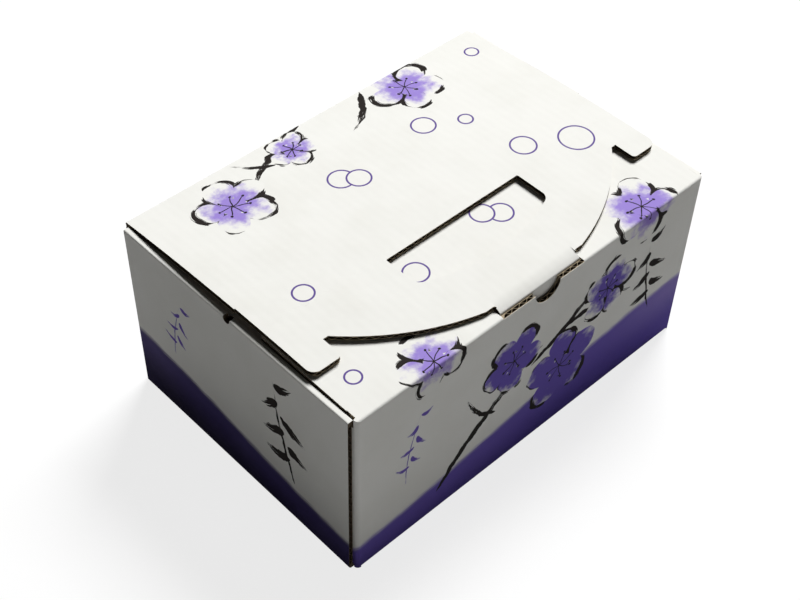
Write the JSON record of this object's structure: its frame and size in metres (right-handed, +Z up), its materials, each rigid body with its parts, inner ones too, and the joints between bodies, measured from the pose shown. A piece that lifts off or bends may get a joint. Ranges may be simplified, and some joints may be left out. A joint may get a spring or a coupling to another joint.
{
  "type": "handled fruit box",
  "caption": "Folded corrugated carry box with roll-over side rims and a hinged tuck lid whose arched front edge is a hand strip.",
  "frame": {"origin": "middle of the base's underside", "axes": "+Z up, +X along the long front wall towards its right end as seen from the front, -Y out of the front wall with the tongue's slot, +Y out of the back wall that carries the lid"},
  "size_m": [0.308, 0.214, 0.1495],
  "materials": {
    "tray_board": "white coated corrugated board with violet print",
    "lid_board": "white coated corrugated board with violet print"
  },
  "bodies": {
    "tray": {"tray": "tray_board"},
    "lid": {"lid": "lid_board"}
  },
  "joints": [
    {"name": "lid_hinge", "type": "hinge", "parent": "tray", "child": "lid", "pos_m": [0, 0.1055, 0.1425], "axis": [-1, 0, 0], "range_deg": [0, 180]}
  ]
}
